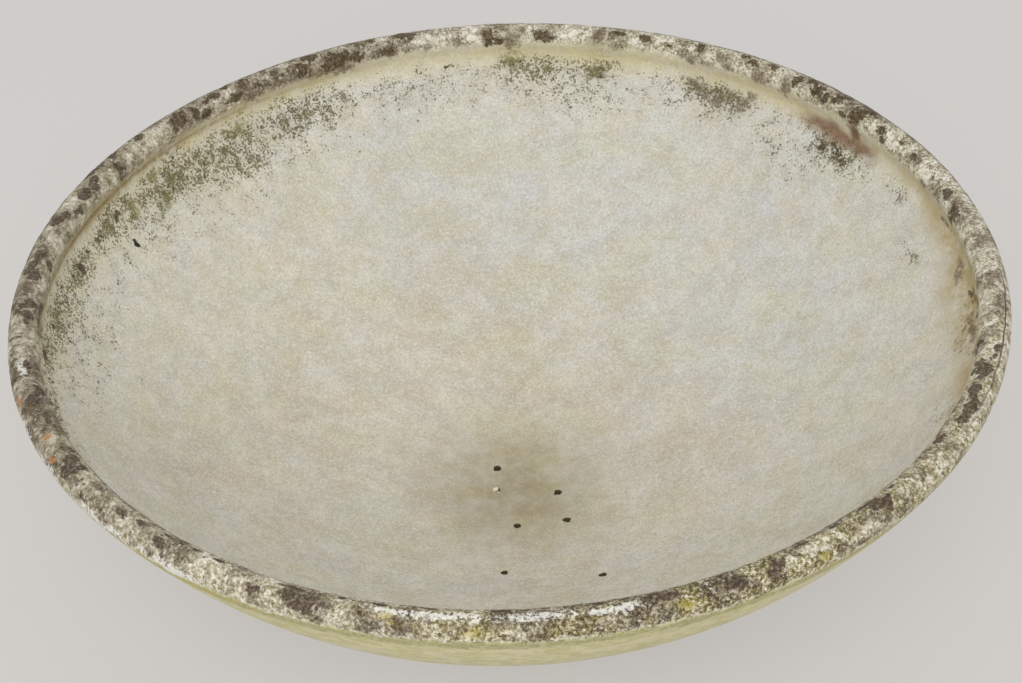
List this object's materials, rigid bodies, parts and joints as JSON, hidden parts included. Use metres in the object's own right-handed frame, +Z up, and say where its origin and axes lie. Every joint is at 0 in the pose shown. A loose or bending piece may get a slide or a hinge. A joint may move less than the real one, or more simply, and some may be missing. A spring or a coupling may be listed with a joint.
{
  "type": "footed planter bowl",
  "caption": "Wide round fibre-cement planter bowl with a thick rolled rim and drain holes, standing loose on a low ring foot.",
  "frame": {"origin": "centre of the foot's ring, on the floor", "axes": "+Z up, along the axis of the bowl; -Y towards the viewer of the picture, +X to their right"},
  "size_m": [1, 0.9998, 0.34],
  "materials": {
    "bowl_cement": "smooth weathered fibre cement, matt",
    "rim_cement": "rough fibre cement crusted with lichen, matt",
    "foot_cement": "weathered fibre cement with algae, matt"
  },
  "bodies": {
    "foot": {"foot_ring": "foot_cement"},
    "bowl": {"bowl_shell": "bowl_cement", "rim_roll": "rim_cement"}
  },
  "joints": [
    {"name": "bowl_lift", "type": "slide", "parent": "foot", "child": "bowl", "axis": [0, 0, 1], "range_m": [0, 0.15]}
  ]
}
